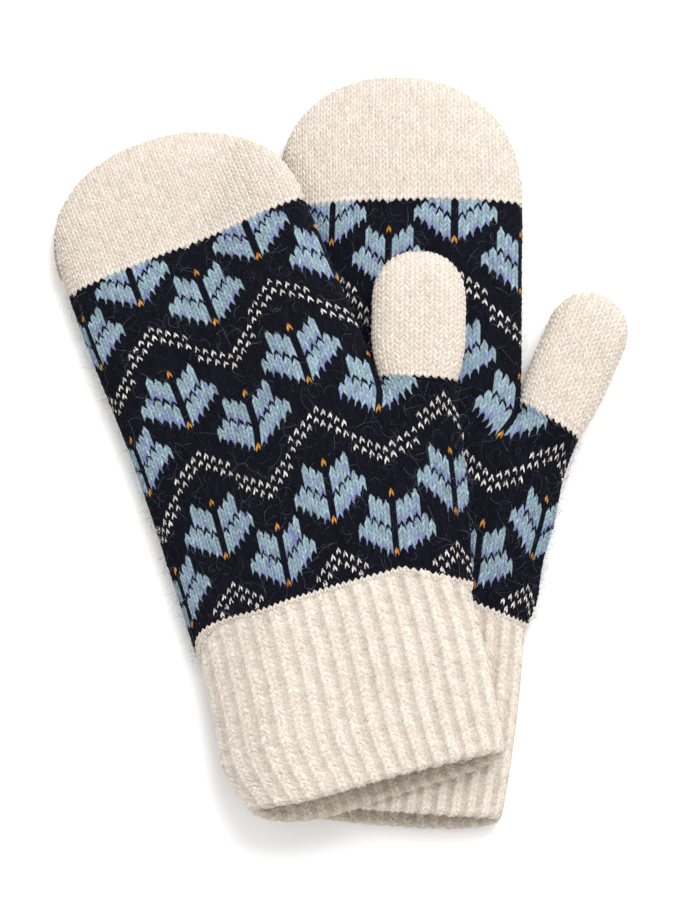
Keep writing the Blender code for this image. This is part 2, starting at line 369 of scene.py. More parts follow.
def hand_y(mitten, column, row):
    """Where a row of the hand runs: from the cap's edge (row 0) to the wrist (HAND_ROWS)."""
    share = column / HAND_COLUMNS
    bulge = 4 * np.clip(share, 0, 1) * (1 - np.clip(share, 0, 1)) * mitten.cap_bulge
    top = mitten.cap_line[0] + (mitten.cap_line[1] - mitten.cap_line[0]) * share + bulge
    edge = mitten.wrist_line
    wrist_x = edge[0][0] + (edge[-1][0] - edge[0][0]) * column / (HAND_COLUMNS + GUSSET_COLUMNS)
    bottom = along_curve(edge, wrist_x)
    down = np.clip(row / HAND_ROWS, 0, 1)
    sag = mitten.row_sag[0] + (mitten.row_sag[1] - mitten.row_sag[0]) * np.clip(share, 0, 1)
    return top + (bottom - top) * row / HAND_ROWS + sag * down * (1 - down) ** 2


def gusset_corner(mitten, row):
    """The gusset's right fold at a row: x and y."""
    share = (row - CROTCH_ROW) / (HAND_ROWS - CROTCH_ROW)
    y = mitten.thumb_right[1] + (mitten.wrist_line[-1][1] - mitten.thumb_right[1]) * share
    return along_curve(mitten.gusset_edge, y), y


def split_x(mitten, row, y, left):
    """Where the column between the hand and the gusset runs."""
    trunk = fold_map(HAND_SHARE, TRUNK_SLIMNESS)
    corner_x, _ = gusset_corner(mitten, row)
    in_trunk = left + (corner_x - left) * (1 + trunk) / 2
    return in_trunk + (along_curve(mitten.right_edge, y) - in_trunk) * (
        1 - smoothstep((row - CROTCH_ROW) / CROTCH_ROWS)
    )


def trunk_rise(row, x, left, split, corner_x, in_gusset):
    """The crown over hand and gusset together, with a groove between them near the crotch."""
    if in_gusset:
        lobe = crown(2 * (x - split) / np.maximum(corner_x - split, 0.001) - 1)
    else:
        lobe = crown(2 * (x - left) / (split - left) - 1)
    whole = crown(2 * (x - left) / np.maximum(corner_x - left, 0.001) - 1)
    return lobe + (whole - lobe) * smoothstep((row - CROTCH_ROW + 0.5) / CROTCH_ROWS)


def tuck(row):
    """How far the last rows of the hand sink in under the cuff."""
    return TUCK * smoothstep(row - HAND_ROWS - 0.5)


def place_hand(mitten):
    """The hand's columns, left of the gusset, from the cap's edge to under the cuff."""

    def place(column, row, side):
        y = hand_y(mitten, column, row)
        left = along_curve(mitten.left_edge, y) + tuck(row)
        split = split_x(mitten, row, y, left)
        share = column / HAND_COLUMNS
        share = share + along_curve(mitten.column_drift, share)
        folded = (1 + fold_map(share, HAND_SLIMNESS)) / 2
        flat = 1 + fold_map(share * HAND_SHARE, TRUNK_SLIMNESS)
        flat = flat / (1 + fold_map(HAND_SHARE, TRUNK_SLIMNESS))
        open_share = smoothstep((row - CROTCH_ROW + 9) / (2 * CROTCH_ROWS))
        x = left + (split - left) * (folded + (flat - folded) * open_share)
        corner_x, _ = gusset_corner(mitten, row)
        rise = trunk_rise(row, x, left, split, corner_x, False)
        z = height(rise, side, tuck(row)) + ripple(mitten, x, y, rise)
        return settle(mitten, x, y, z)

    return place


def ripple(mitten, x, y, rise):
    """Soft unevenness of a knit tube that lies loosely."""
    wave = np.sin(x * 95 + mitten.seed) * np.sin(y * 70 + 2 * mitten.seed)
    wave = wave + 0.6 * np.sin(x * 170 - y * 120 + mitten.seed)
    return RIPPLE_HEIGHT * wave * rise


def thumb_axis(mitten):
    """The thumb's base middle, the half base line from there, and the way to the thumb's tip."""
    left, right = np.array(mitten.thumb_left), np.array(mitten.thumb_right)
    middle = (left + right) / 2
    return middle, (right - left) / 2, np.array(mitten.thumb_tip) - middle


def place_on_thumb(mitten, across, row, depth):
    """A place on the thumb: x, y and crown. Row 0 is past the tip, and THUMB_ROWS is the base."""
    middle, half_base, to_tip = thumb_axis(mitten)
    length = np.linalg.norm(to_tip)
    along_axis = to_tip / length
    square_axis = np.array([along_axis[1], -along_axis[0]])
    wide = mitten.thumb_wide - depth
    dome = wide * THUMB_DOME
    straight = length - depth - dome
    above = np.maximum(0, THUMB_ROWS - row) / THUMB_ROWS
    along = above * (length + THUMB_OVERRUN)
    grown = np.clip(along / (THUMB_GROWTH * straight), 0, 1)
    grown = grown * (2 - grown)
    along = np.minimum(along, straight + dome * dome_limit(across))
    beyond = np.maximum(0, along - straight) / dome
    out_x = half_base[0] * (1 - grown) + wide * square_axis[0] * grown
    out_y = half_base[1] * (1 - grown) + wide * square_axis[1] * grown
    x = middle[0] + across * out_x + along * along_axis[0]
    y = middle[1] + across * out_y + along * along_axis[1]
    return x, y, crown(dome_reach(across, beyond))


def place_on_gusset(mitten, share, across, row, depth):
    """A place on the gusset, between the hand and the gusset's own fold: x, y and crown."""
    split_y = hand_y(mitten, HAND_COLUMNS, row)
    left = along_curve(mitten.left_edge, split_y) + depth
    split = split_x(mitten, row, split_y, left)
    corner_x, corner_y = gusset_corner(mitten, row)
    corner_x = corner_x - depth - tuck(row)
    start = fold_map(HAND_SHARE, TRUNK_SLIMNESS)
    folded = (1 + across) / 2
    flat = fold_map(HAND_SHARE + (1 - HAND_SHARE) * share, TRUNK_SLIMNESS)
    flat = (flat - start) / (1 - start)
    part = folded + (flat - folded) * smoothstep((row - CROTCH_ROW) / 6)
    part = part + GUSSET_DRIFT * 4 * part * (1 - part)
    x = split + (corner_x - split) * part
    y = split_y + (corner_y - split_y) * part
    return x, y, trunk_rise(row, x, left, split, corner_x, True)


def place_thumb(mitten, depth=0.0):
    """The thumb above its base line, and the gusset below it."""

    def place(column, row, side):
        share = column / GUSSET_COLUMNS
        across = fold_map(share, THUMB_SLIMNESS)
        hand_row = np.maximum(row - THUMB_ROWS, 0) + CROTCH_ROW
        on_thumb = place_on_thumb(mitten, across, row, depth)
        on_gusset = place_on_gusset(mitten, share, across, hand_row, depth)
        x, y, rise = np.where(row < THUMB_ROWS, on_thumb, on_gusset)
        z = height(rise, side, depth + tuck(hand_row)) + ripple(mitten, x, y, rise)
        return settle(mitten, x, y, z)

    return place


def place_cap(mitten):
    """The fingertip cap: straight columns that the rounded outline cuts off. Row 0 is its edge."""

    def place(column, row, side):
        edge_y = hand_y(mitten, column, 0)
        left = along_curve(mitten.left_edge, edge_y)
        right = along_curve(mitten.right_edge, edge_y)
        share = column / HAND_COLUMNS
        across = fold_map(share + along_curve(mitten.column_drift, share), HAND_SLIMNESS)
        gain = (CAP_ROWS - row) / CAP_ROWS
        y = edge_y + gain * (mitten.dome_y + mitten.dome_height - mitten.cap_line[0] + CAP_OVERRUN)
        lean = smoothstep((y - mitten.cap_line[0]) / mitten.dome_height) * CAP_LEAN
        half, middle = (right - left) / 2, (right + left) / 2 - lean
        y = np.minimum(y, mitten.dome_y + mitten.dome_height * dome_limit(across))
        y = np.maximum(y, edge_y)
        beyond = np.maximum(0, y - mitten.dome_y) / mitten.dome_height
        rise = crown(dome_reach(across, beyond))
        x = middle + half * across
        return settle(mitten, x, y, height(rise, side) + ripple(mitten, x, y, rise))

    return place


def chart(column, row):
    """The yarn of each hand stitch: leaves on veins, gold dots and a white zigzag on navy.

    A leaf is a navy vein with an upper and a lower lobe on each side, each with a lavender edge
    below, and a gold dot at both ends. All of it is mirrored about the vein.
    """
    offset = (column - FIRST_VEIN + LEAF_OFFSET) % REPEAT_COLUMNS - LEAF_OFFSET
    offset = np.abs(offset)
    yarn = np.full(np.broadcast(column, row).shape, NAVY)
    line = (row - ZIGZAG_ROW - offset) % REPEAT_ROWS
    yarn[line == 0] = WHITE
    yarn[(line == REPEAT_ROWS - 2) & (offset <= 4)] = WHITE
    yarn[(line == 2) & (offset >= 5)] = WHITE
    for out, start in ((offset, 0), (LEAF_OFFSET - offset, LEAF_OFFSET)):
        down = (row + LEAF_ROW - start) % REPEAT_ROWS
        upper = (out >= 1) & (out <= 3) & (down >= 3 - out) & (down <= 6 - out)
        lower = (out >= 1) & (out <= 4) & (down >= 8 - out) & (down <= 11 - out)
        tip = (out == 5) & ((down == 5) | (down == 6))
        yarn[upper | lower | tip] = BLUE
        yarn[(upper & (down == 6 - out)) | (lower & (down == 11 - out))] = LAVENDER
        yarn[(out == 0) & ((down == 0) | (down == 11))] = GOLD
    return yarn


def hand_yarn(column, row):
    """The chart, down to the plain rows that go in under the cuff."""
    return np.where(row < HAND_ROWS, chart(column, row), IVORY)


def thumb_yarn(column, row):
    """Plain on the thumb, and the hand's chart carried on over the gusset."""
    hand_row = row - THUMB_ROWS + CROTCH_ROW
    return np.where(row < THUMB_ROWS, IVORY, hand_yarn(column + HAND_COLUMNS, hand_row))


def plain_yarn(column, row):
    """Ivory all over."""
    return np.full(np.broadcast(column, row).shape, IVORY)


def normals_of(points, side):
    """Unit normals of a grid of points, pointing out of the front or the back."""
    across = np.gradient(points, axis=1)
    along = np.gradient(points, axis=0)
    normal = np.cross(across, along)
    size = np.linalg.norm(normal, axis=-1, keepdims=True)
    normal = np.divide(normal, size, out=np.zeros_like(normal), where=size > 1e-12)
    return -normal if normal[..., 2].sum() * side < 0 else normal


def leg_relief(columns, rows, rng):
    """Height of the yarn over the fabric: a rounded leg in each half column of each row."""
    i = np.arange(columns * 2 * ACROSS + 1)
    j = np.arange(rows * ALONG + 1)
    side_share = (i % ACROSS) / ACROSS
    row_share = (j % ALONG) / ALONG
    profile = np.sin(np.pi * side_share)[None, :] ** 0.6 * np.sin(np.pi * row_share)[:, None] ** 0.7
    plump = rng.uniform(0.78, 1.15, (rows + 1, columns * 2 + 1))
    return profile * plump[(j // ALONG)[:, None], (i // ACROSS)[None, :]]


def stitch_colours(yarn, rng):
    """A colour for each leg, with the yarn's own variation from stitch to stitch."""
    legs = np.repeat(yarn, 2, axis=1)
    shade = np.clip(rng.normal(0, 1, legs.shape), -2, 2)
    mixed = (legs == BLUE) & (rng.random(legs.shape) < 0.06)
    mixed |= (legs == LAVENDER) & (rng.random(legs.shape) < 0.35)
    legs = np.where(mixed, BLUE + LAVENDER - legs, legs)
    colour = YARNS[legs] * (1 + YARN_SPREAD[legs] * shade)[..., None]
    return colour, legs


def cell_colours(yarn, rng):
    """The colour and yarn of each cell. White and gold show only near the tip of their stitch."""
    colour, legs = stitch_colours(yarn, rng)
    columns, rows = legs.shape[1] * ACROSS, legs.shape[0] * ALONG
    colour = np.repeat(np.repeat(colour, ALONG, axis=0), ACROSS, axis=1)
    legs = np.repeat(np.repeat(legs, ALONG, axis=0), ACROSS, axis=1)
    place = np.arange(columns) % (2 * ACROSS)
    from_middle = np.where(place < ACROSS, ACROSS - 1 - place, place - ACROSS)[None, :]
    below_tip = (np.arange(rows) % ALONG)[:, None]
    covered = (legs == WHITE) & ((from_middle > 1) | (below_tip > 2))
    covered |= (legs == GOLD) & (from_middle > 1)
    covered |= (legs == WHITE) & (rng.random(legs.shape) < COVER_CHANCE)
    colour[covered] = YARNS[NAVY]
    legs[covered] = NAVY
    for step in (1, -1):
        near = np.roll(legs, step, axis=0)
        spreads = (legs == NAVY) & ((near == BLUE) | (near == LAVENDER))
        spreads &= rng.random(legs.shape) < SPREAD_CHANCE
        colour[spreads] = np.roll(colour, step, axis=0)[spreads]
        legs[spreads] = near[spreads]
    return colour, legs


def knit_face(columns, rows, place, yarn_of, seams, side, seed, relief=LEG_HEIGHT):
    """One face of stocking stitch: (points, cell colours, cells' painted groove shade, leg heights).
    """
    rng = np.random.default_rng(seed)
    i = np.arange(columns * 2 * ACROSS + 1)
    j = np.arange(rows * ALONG + 1)
    column = i / (2 * ACROSS)
    peak = 1 - np.abs(2 * (column % 1) - 1)
    row = j[:, None] / ALONG
    near_seam = sum(np.exp(-(((row - seam) / 1.2) ** 2)) for seam in seams)
    row = row - LEG_SLANT * (1 - SEAM_FLATTENING * near_seam) * peak[None, :]
    column = np.broadcast_to(column[None, :], row.shape)
    points = place(column, row, side)
    legs = leg_relief(columns, rows, rng)
    past_the_end = np.linalg.norm(np.diff(points, axis=0), axis=-1) < 1e-8
    legs[:-1][past_the_end] = 0
    legs[1:][past_the_end] = 0
    points = points + normals_of(points, side) * (legs * relief)[..., None]
    points = points + rng.normal(0, JITTER, points.shape) * (legs > 0)[..., None]
    stitch_column = np.arange(columns)[None, :]
    stitch_row = np.arange(rows)[:, None]
    colour, yarn = cell_colours(yarn_of(stitch_column, stitch_row), rng)
    return points, colour, PAINTED_GROOVE_SHADE[yarn], legs


def corners_of(grid, side):
    """The corner values of each cell of a grid, in the order that faces out of a side."""
    corners = [grid[:-1, :-1], grid[1:, :-1], grid[1:, 1:], grid[:-1, 1:]]
    if side < 0:
        corners.reverse()
    return np.stack(corners, axis=-1).reshape(-1, 4)


def make_piece(name, faces, material):
    """Joins faces (points, cell colours, painted groove shade, leg heights, side) into one mesh
    object, with painted shade where the legs are low.
    """
    coordinates, quads, colours, uvs = [], [], [], []
    offset = 0
    for number, (points, colour, painted_groove_shade, legs, side) in enumerate(faces):
        rows, columns = points.shape[:2]
        quad = corners_of(np.arange(rows * columns).reshape(rows, columns), side)
        corners = points.reshape(-1, 3)[quad]
        normal = np.cross(corners[:, 2] - corners[:, 0], corners[:, 3] - corners[:, 1])
        kept = np.linalg.norm(normal, axis=1) > SMALLEST_CELL
        # Painted shade: colours darken towards the low edges of each leg, in the grooves between legs
        shade = 1 - painted_groove_shade.reshape(-1, 1) * (1 - corners_of(legs, side))
        painted = colour.reshape(-1, 1, 3) * shade[..., None]
        places_u = (number + 0.01 + 0.98 * np.linspace(0, 1, columns)) / len(faces)
        u, v = np.meshgrid(places_u, np.linspace(1, 0, rows))
        uv = np.stack([corners_of(u, side), corners_of(v, side)], axis=-1)
        coordinates.append(points.reshape(-1, 3))
        quads.append(quad[kept] + offset)
        colours.append(painted[kept])
        uvs.append(uv[kept])
        offset += rows * columns
    return mesh_object(name, coordinates, quads, colours, uvs, material)


def mesh_object(name, coordinates, quads, colours, uvs, material):
    """A mesh object with its yarn colours and its bake layer. Nothing sinks into the table."""
    coordinates, quads = np.concatenate(coordinates), np.concatenate(quads)
    coordinates[:, 2] = np.maximum(coordinates[:, 2], 0)
    used, renumbered = np.unique(quads, return_inverse=True)
    coordinates, quads = coordinates[used], renumbered.reshape(-1, 4)
    mesh = bpy.data.meshes.new(name)
    mesh.vertices.add(len(coordinates))
    mesh.vertices.foreach_set("co", coordinates.astype(np.float32).ravel())
    mesh.loops.add(quads.size)
    mesh.loops.foreach_set("vertex_index", quads.astype(np.int32).ravel())
    mesh.polygons.add(len(quads))
    mesh.polygons.foreach_set("loop_start", np.arange(0, quads.size, 4, dtype=np.int32))
    mesh.update(calc_edges=True)
    mesh.polygons.foreach_set("use_smooth", np.ones(len(quads), bool))
    attribute = mesh.color_attributes.new("yarn", "FLOAT_COLOR", "CORNER")
    colours = np.concatenate(colours).reshape(-1, 3)
    rgba = np.concatenate([np.clip(colours, 0, 1), np.ones((len(colours), 1))], axis=1)
    attribute.data.foreach_set("color", rgba.astype(np.float32).ravel())
    layer = mesh.uv_layers.new(name="OFBake")
    layer.data.foreach_set("uv", np.concatenate(uvs).astype(np.float32).ravel())
    mesh.materials.append(material)
    obj = bpy.data.objects.new(name, mesh)
    bpy.context.scene.collection.objects.link(obj)
    return obj


def knit_tube(name, columns, rows, place, yarn_of, seams, seed, material, relief):
    """A tube of stocking stitch from its front and back face: (object, faces)."""
    faces = []
    for side in (1, -1):
        face = knit_face(columns, rows, place, yarn_of, seams, side, seed, relief)
        faces.append((*face, side))
    return make_piece(name, faces, material), faces


def place_cuff(mitten, share, row, side):
    """Places on the folded cuff, and where they are across it. Rows run down, round and up inside."""
    down = np.clip(row / (CUFF_ROWS - HEM_ROWS / 2), 0, 1)
    angle = np.clip((row - CUFF_ROWS + HEM_ROWS / 2) / HEM_ROWS, 0, 1) * math.pi
    back = np.maximum(0, row - CUFF_ROWS - HEM_ROWS / 2) * FACING_ROW_LENGTH
    depth = HEM_THICKNESS / 2 * (1 - np.cos(angle))
    depth = depth + EDGE_ROLL * (1 - smoothstep(row / 1.5))
    left = along_curve(mitten.cuff_left, down) + depth
    right = along_curve(mitten.cuff_right, down) - depth
    across = fold_map(share, HAND_SLIMNESS)
    rise = crown(across)
    x = (left + right) / 2 + (right - left) / 2 * across
    top_y = along_curve(mitten.wrist_line, x) - CUFF_START
    hem_y = along_curve(mitten.hem_line, x)
    if side < 0:
        left_drop, right_drop = mitten.back_hem_drop
        drop = left_drop + (right_drop - left_drop) * (across + 1) / 2
        hem_y = hem_y - drop * rise
    y = top_y + (hem_y - top_y) * down - HEM_THICKNESS / 2 * np.sin(angle) + back
    z = height(rise, side, depth) + ripple(mitten, x, y, rise)
    return settle(mitten, x, y, z), across


def rib_colours(rows, rng):
    """A colour for each cell of the cuff, with painted shade from the hem inwards."""
    colour, _ = stitch_colours(np.full((rows, CUFF_RIBS), IVORY), rng)
    leg = np.minimum(np.arange(RIB_CELLS) // ACROSS, 1)
    pick = (np.arange(CUFF_RIBS)[:, None] * 2 + leg[None, :]).ravel()
    colour = np.repeat(colour, ALONG, axis=0)[:, pick]
    # Painted shade: the hem and the facing inside the cuff are darkened, as if in shadow
    inside = smoothstep((np.arange(rows * ALONG) / ALONG - CUFF_ROWS + 1.5) / 3)
    return colour * (1 - (1 - np.array(INSIDE_PAINTED_SHADE)) * inside[:, None, None])


def rib_face(mitten, side, rng):
    """One face of the cuff, with ribs that fade to the left fold, as make_piece takes it."""
    rows = CUFF_ROWS + FACING_ROWS
    i = np.arange(CUFF_RIBS * RIB_CELLS + 1)
    j = np.arange(rows * ALONG + 1)
    rib = i / RIB_CELLS
    cell = i % RIB_CELLS
    on_stitch = cell < 2 * ACROSS
    stitch = np.clip(cell / (2 * ACROSS), 0, 1)
    peak = np.where(on_stitch, 1 - np.abs(2 * stitch - 1), 0)
    row = j[:, None] / ALONG - RIB_SLANT * peak[None, :]
    share = np.broadcast_to(rib[None, :] / CUFF_RIBS, row.shape)
    base, across = place_cuff(mitten, share, row, side)

    knit_leg = np.sin(np.pi * (cell % ACROSS) / ACROSS) ** 0.6
    legs = np.where(on_stitch, knit_leg, PURL_LEG * np.sin(np.pi * (i % 2) / 2))[None, :]
    legs = legs * np.sin(np.pi * (j % ALONG) / ALONG)[:, None] ** 0.7
    plump = rng.uniform(0.75, 1.2, (rows + 1, CUFF_RIBS * 2 + 2))
    legs = legs * plump[(j // ALONG)[:, None], (rib * 2).astype(int)[None, :]]
    ridge = np.where(on_stitch, np.sin(np.pi * stitch) ** 0.55, 0)[None, :]
    valley = np.where(on_stitch, 0, np.sin(np.pi * (cell - 2 * ACROSS) / PURL_CELLS))[None, :]
    strength = 0.25 + 0.75 * smoothstep((across + 0.8) / 1.4)
    strength = strength * (1 + 0.25 * np.sin(row * 0.9 + rib[None, :] * 2.1 + mitten.seed))
    flat_end = smoothstep(row / 2) * (1 - 0.5 * smoothstep((row - CUFF_ROWS + 3) / 2))
    swell = (RIB_HEIGHT * ridge - RIB_DEPTH * valley) * strength * flat_end
    points = base + normals_of(base, side) * (legs * RIB_LEG_HEIGHT + swell)[..., None]
    inner = points[1:-1, 1:-1]
    inner += rng.normal(0, RIB_ROUGHNESS, inner.shape)
    colour = rib_colours(rows, rng)
    # Painted shade on the cuff: the last value darkens the purl valleys and the gaps between legs
    painted_groove_shade = np.full(colour.shape[:2], PAINTED_GROOVE_SHADE[IVORY])
    return points, colour, painted_groove_shade, np.clip(0.5 * legs + 0.5 * ridge - 0.3 * valley, 0, 1), side


def surfaces(faces, rows=slice(None)):
    """The points and the side of each face, for all or some of its rows of points."""
    return [(face[0][rows], face[-1]) for face in faces]


def pick_roots(parts, count, rng):
    """Random places on some surfaces, with the way out of the knit there."""
    roots, outward = [], []
    for points, side in parts:
        normal = normals_of(points, side).reshape(-1, 3)
        chosen = rng.integers(0, len(normal), count // len(parts))
        chosen = chosen[np.linalg.norm(normal[chosen], axis=1) > 0.5]
        roots.append(points.reshape(-1, 3)[chosen])
        outward.append(normal[chosen])
    return np.concatenate(roots), np.concatenate(outward)


def fibre_rings(roots, outward, shape, rng):
    """The points of the fibres, four round each step of the way, as each curls off the knit."""
    count = len(roots)
    steps, length, top = shape
    helper = np.where(np.abs(outward[:, 2:]) < 0.9, [0.0, 0.0, 1.0], [1.0, 0.0, 0.0])
    first = np.cross(outward, helper)
    first /= np.linalg.norm(first, axis=1, keepdims=True)
    second = np.cross(outward, first)
    size = length * rng.uniform(0.4, 1.3, (count, 1))
    heading = rng.uniform(0, 2 * math.pi, (count, 1))
    curl = rng.normal(0, FIBRE_CURL, (count, 1))
    rise = top * rng.uniform(0.2, 1.0, (count, 1)) ** 2
    flat = np.zeros((count, 3))
    rings = []
    for step in range(steps + 1):
        share = step / steps
        angle = heading + curl * share
        ahead = np.cos(angle) * first + np.sin(angle) * second
        if step:
            flat = flat + ahead * size / steps
        middle = roots + flat + outward * rise * math.sin(math.pi * share * 0.85)
        across = np.cross(ahead, outward)
        middle[:, 2] = roots[:, 2] + FIBRE_FLATNESS * (middle[:, 2] - roots[:, 2])
        middle[:, 2] = np.maximum(middle[:, 2], FLOOR_GAP)
        radius = FIBRE_RADIUS * (1 - 0.6 * share)
        corners = [middle + radius * way for way in (outward, across, -outward, -across)]
        rings.append(np.stack(corners, axis=1))
    return np.stack(rings, axis=1)


def fibre_quads(points):
    """The four sides and both ends of each fibre."""
    index = np.arange(points[..., 0].size).reshape(points.shape[:3])
    low, high = index[:, :-1], index[:, 1:]
    quads = []
    for corner in range(4):
        after = (corner + 1) % 4
        strip = [low[..., corner], low[..., after], high[..., after], high[..., corner]]
        quads.append(np.stack(strip, axis=-1).reshape(len(points), -1, 4))
    quads.append(index[:, :1, ::-1])
    quads.append(index[:, -1:, :])
    return np.concatenate(quads, axis=1)


def make_fibres(name, roots, outward, shape, colours, rng, material):
    """Fine loose fibres: thin closed four-sided threads, each with its own cell of the bake."""
    count = len(roots)
    points = fibre_rings(roots, outward, shape, rng)
    quads = fibre_quads(points)
    per_fibre = quads.shape[1]
    painted = np.repeat(colours, per_fibre * 4, axis=0).reshape(-1, 4, 3)

    cells = math.ceil(math.sqrt(count))
    place = np.stack([np.arange(count) % cells, np.arange(count) // cells], axis=-1)
    square = np.array([[0.2, 0.2], [0.8, 0.2], [0.8, 0.8], [0.2, 0.8]])
    uv = (place[:, None, None, :] + np.broadcast_to(square, (count, per_fibre, 4, 2))) / cells
    points, quads, uv = points.reshape(-1, 3), quads.reshape(-1, 4), uv.reshape(-1, 4, 2)
    return mesh_object(name, [points], [quads], [painted], [uv], material)


def fibre_colours(choices, count, rng):
    """A colour for each fibre: one of the choices, lighter or darker."""
    shade = rng.uniform(0.7, 1.2, (count, 1))
    return np.clip(np.array(choices)[rng.integers(0, len(choices), count)] * shade, 0, 1)


def wool_material(name, sheen):
    """Matt wool: the stitch colour, mottled and roughened by fine fibres."""
    material = bpy.data.materials.new(name)
    material.use_nodes = True
    nodes, links = material.node_tree.nodes, material.node_tree.links
    shader = nodes["Principled BSDF"]
    shader.inputs["Roughness"].default_value = 0.9
    shader.inputs["Specular IOR Level"].default_value = 0.12
    shader.inputs["Sheen Weight"].default_value = sheen
    shader.inputs["Sheen Roughness"].default_value = 0.5
    yarn = nodes.new("ShaderNodeAttribute")
    yarn.attribute_name = "yarn"
    place = nodes.new("ShaderNodeTexCoord")
    fibre = nodes.new("ShaderNodeTexNoise")
    fibre.inputs["Scale"].default_value = 1800
    fibre.inputs["Detail"].default_value = 3
    spread = nodes.new("ShaderNodeMapRange")
    spread.inputs["From Min"].default_value = 0.25
    spread.inputs["From Max"].default_value = 0.75
    spread.inputs["To Min"].default_value = 0.70
    spread.inputs["To Max"].default_value = 1.30
    mottle = nodes.new("ShaderNodeVectorMath")
    mottle.operation = "SCALE"
    bump = nodes.new("ShaderNodeBump")
    bump.inputs["Strength"].default_value = 0.35
    bump.inputs["Distance"].default_value = 0.0002
    links.new(place.outputs["Object"], fibre.inputs["Vector"])
    links.new(fibre.outputs["Fac"], spread.inputs["Value"])
    links.new(yarn.outputs["Color"], mottle.inputs[0])
    links.new(spread.outputs["Result"], mottle.inputs["Scale"])
    links.new(mottle.outputs["Vector"], shader.inputs["Base Color"])
    links.new(fibre.outputs["Fac"], bump.inputs["Height"])
    links.new(bump.outputs["Normal"], shader.inputs["Normal"])
    return material


def plain_knit_material(name, colour):
    """Knit for the pieces that stay as the CAD has them."""
    material = bpy.data.materials.new(name)
    material.use_nodes = True
    nodes, links = material.node_tree.nodes, material.node_tree.links
    shader = nodes["Principled BSDF"]
    shader.inputs["Roughness"].default_value = 0.95
    place = nodes.new("ShaderNodeTexCoord")
    fibre = nodes.new("ShaderNodeTexNoise")
    fibre.inputs["Scale"].default_value = 900
    ramp = nodes.new("ShaderNodeValToRGB")
    ramp.color_ramp.elements[0].color = (*(colour * 0.7), 1)
    ramp.color_ramp.elements[1].color = (*colour, 1)
    bump = nodes.new("ShaderNodeBump")
    bump.inputs["Strength"].default_value = 0.5
    bump.inputs["Distance"].default_value = 0.0004
    links.new(place.outputs["Object"], fibre.inputs["Vector"])
    links.new(fibre.outputs["Fac"], ramp.inputs["Fac"])
    links.new(ramp.outputs["Color"], shader.inputs["Base Color"])
    links.new(fibre.outputs["Fac"], bump.inputs["Height"])
    links.new(bump.outputs["Normal"], shader.inputs["Normal"])
    return material


def thumb_blend(piece):
    """Bakes the piece's placement into its mesh; the thumb is left as it is knitted, not bent."""
    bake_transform(piece)


def add_fuzz(mitten, hand_faces, plain_faces, thumb_faces, wool):
    """Loose fibres: long dark ones on the patterned knit, short pale ones on the plain knit."""
    rng = np.random.default_rng(mitten.seed + 50)
    long = (LONG_STEPS, LONG_LENGTH, LONG_RISE)
    short = (SHORT_STEPS, SHORT_LENGTH, SHORT_RISE)
    base = THUMB_ROWS * ALONG
    hand, plain = surfaces(hand_faces), surfaces(plain_faces)
    thumb, gusset = surfaces(thumb_faces, slice(0, base)), surfaces(thumb_faces, slice(base, None))
    plan = (
        ("hand_fuzz", hand, HAND_FIBRES, long, DARK_FIBRES, "navy_jacquard"),
        ("gusset_fuzz", gusset, GUSSET_FIBRES, long, DARK_FIBRES, "navy_jacquard"),
        ("plain_fuzz", plain, PLAIN_FIBRES, short, PALE_FIBRES, "ivory_knit"),
        ("thumb_fuzz", thumb, THUMB_FIBRES, short, PALE_FIBRES, "ivory_knit"),
    )
    for word, parts, count, shape, choices, slot in plan:
        roots, outward = pick_roots(parts, count, rng)
        colours = fibre_colours(choices, len(roots), rng)
        fuzz = make_fibres(f"{mitten.name}_{word}", roots, outward, shape, colours, rng, wool)
        if word in ("gusset_fuzz", "thumb_fuzz"):
            thumb_blend(fuzz)
        else:
            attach(fuzz, f"{mitten.name}_mitten")


def knit_hand(mitten, wool):
    """The patterned hand, with its front and its back as two pieces."""
    faces = []
    for side, word in ((1, "front"), (-1, "back")):
        face = knit_face(
            HAND_COLUMNS,
            HAND_ROWS + TUCKED_ROWS,
            place_hand(mitten),
            hand_yarn,
            (0, HAND_ROWS),
            side,
            mitten.seed + side,
        )
        faces.append((*face, side))
        hand = make_piece(f"{mitten.name}_hand_{word}", faces[-1:], wool)
        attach(hand, f"{mitten.name}_mitten")
        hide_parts(f"{mitten.name}_hand_shell")
    return faces


def knit_cap(mitten, wool):
    """The plain cap over the fingertips."""
    cap, faces = knit_tube(
        f"{mitten.name}_cap",
        HAND_COLUMNS,
        CAP_ROWS,
        place_cap(mitten),
        plain_yarn,
        (CAP_ROWS,),
        mitten.seed + 5,
        wool,
        PLAIN_HEIGHT,
    )
    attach(cap, f"{mitten.name}_mitten")
    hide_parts(f"{mitten.name}_fingertip_cap")
    return faces


def knit_thumb(mitten, wool):
    """The thumb and the gusset below it, knitted in one."""
    rows = THUMB_ROWS + HAND_ROWS - CROTCH_ROW
    thumb, faces = knit_tube(
        f"{mitten.name}_thumb_and_gusset",
        GUSSET_COLUMNS,
        rows + TUCKED_ROWS,
        place_thumb(mitten),
        thumb_yarn,
        (THUMB_ROWS, rows),
        mitten.seed + 7,
        wool,
        PLAIN_HEIGHT,
    )
    thumb_blend(thumb)
    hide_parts(f"{mitten.name}_thumb_base", f"{mitten.name}_thumb_cover")
    return faces


def line_thumb(mitten, wool):
    """The thumb's lining, set a little inside the thumb's shape, so it never shows through."""
    lining, _ = knit_tube(
        f"{mitten.name}_thumb_lining_knit",
        GUSSET_COLUMNS,
        THUMB_ROWS,
        place_thumb(mitten, LINING_DEPTH),
        plain_yarn,
        (),
        mitten.seed + 9,
        wool,
        LINING_HEIGHT,
    )
    thumb_blend(lining)
    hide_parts(f"{mitten.name}_thumb_lining")


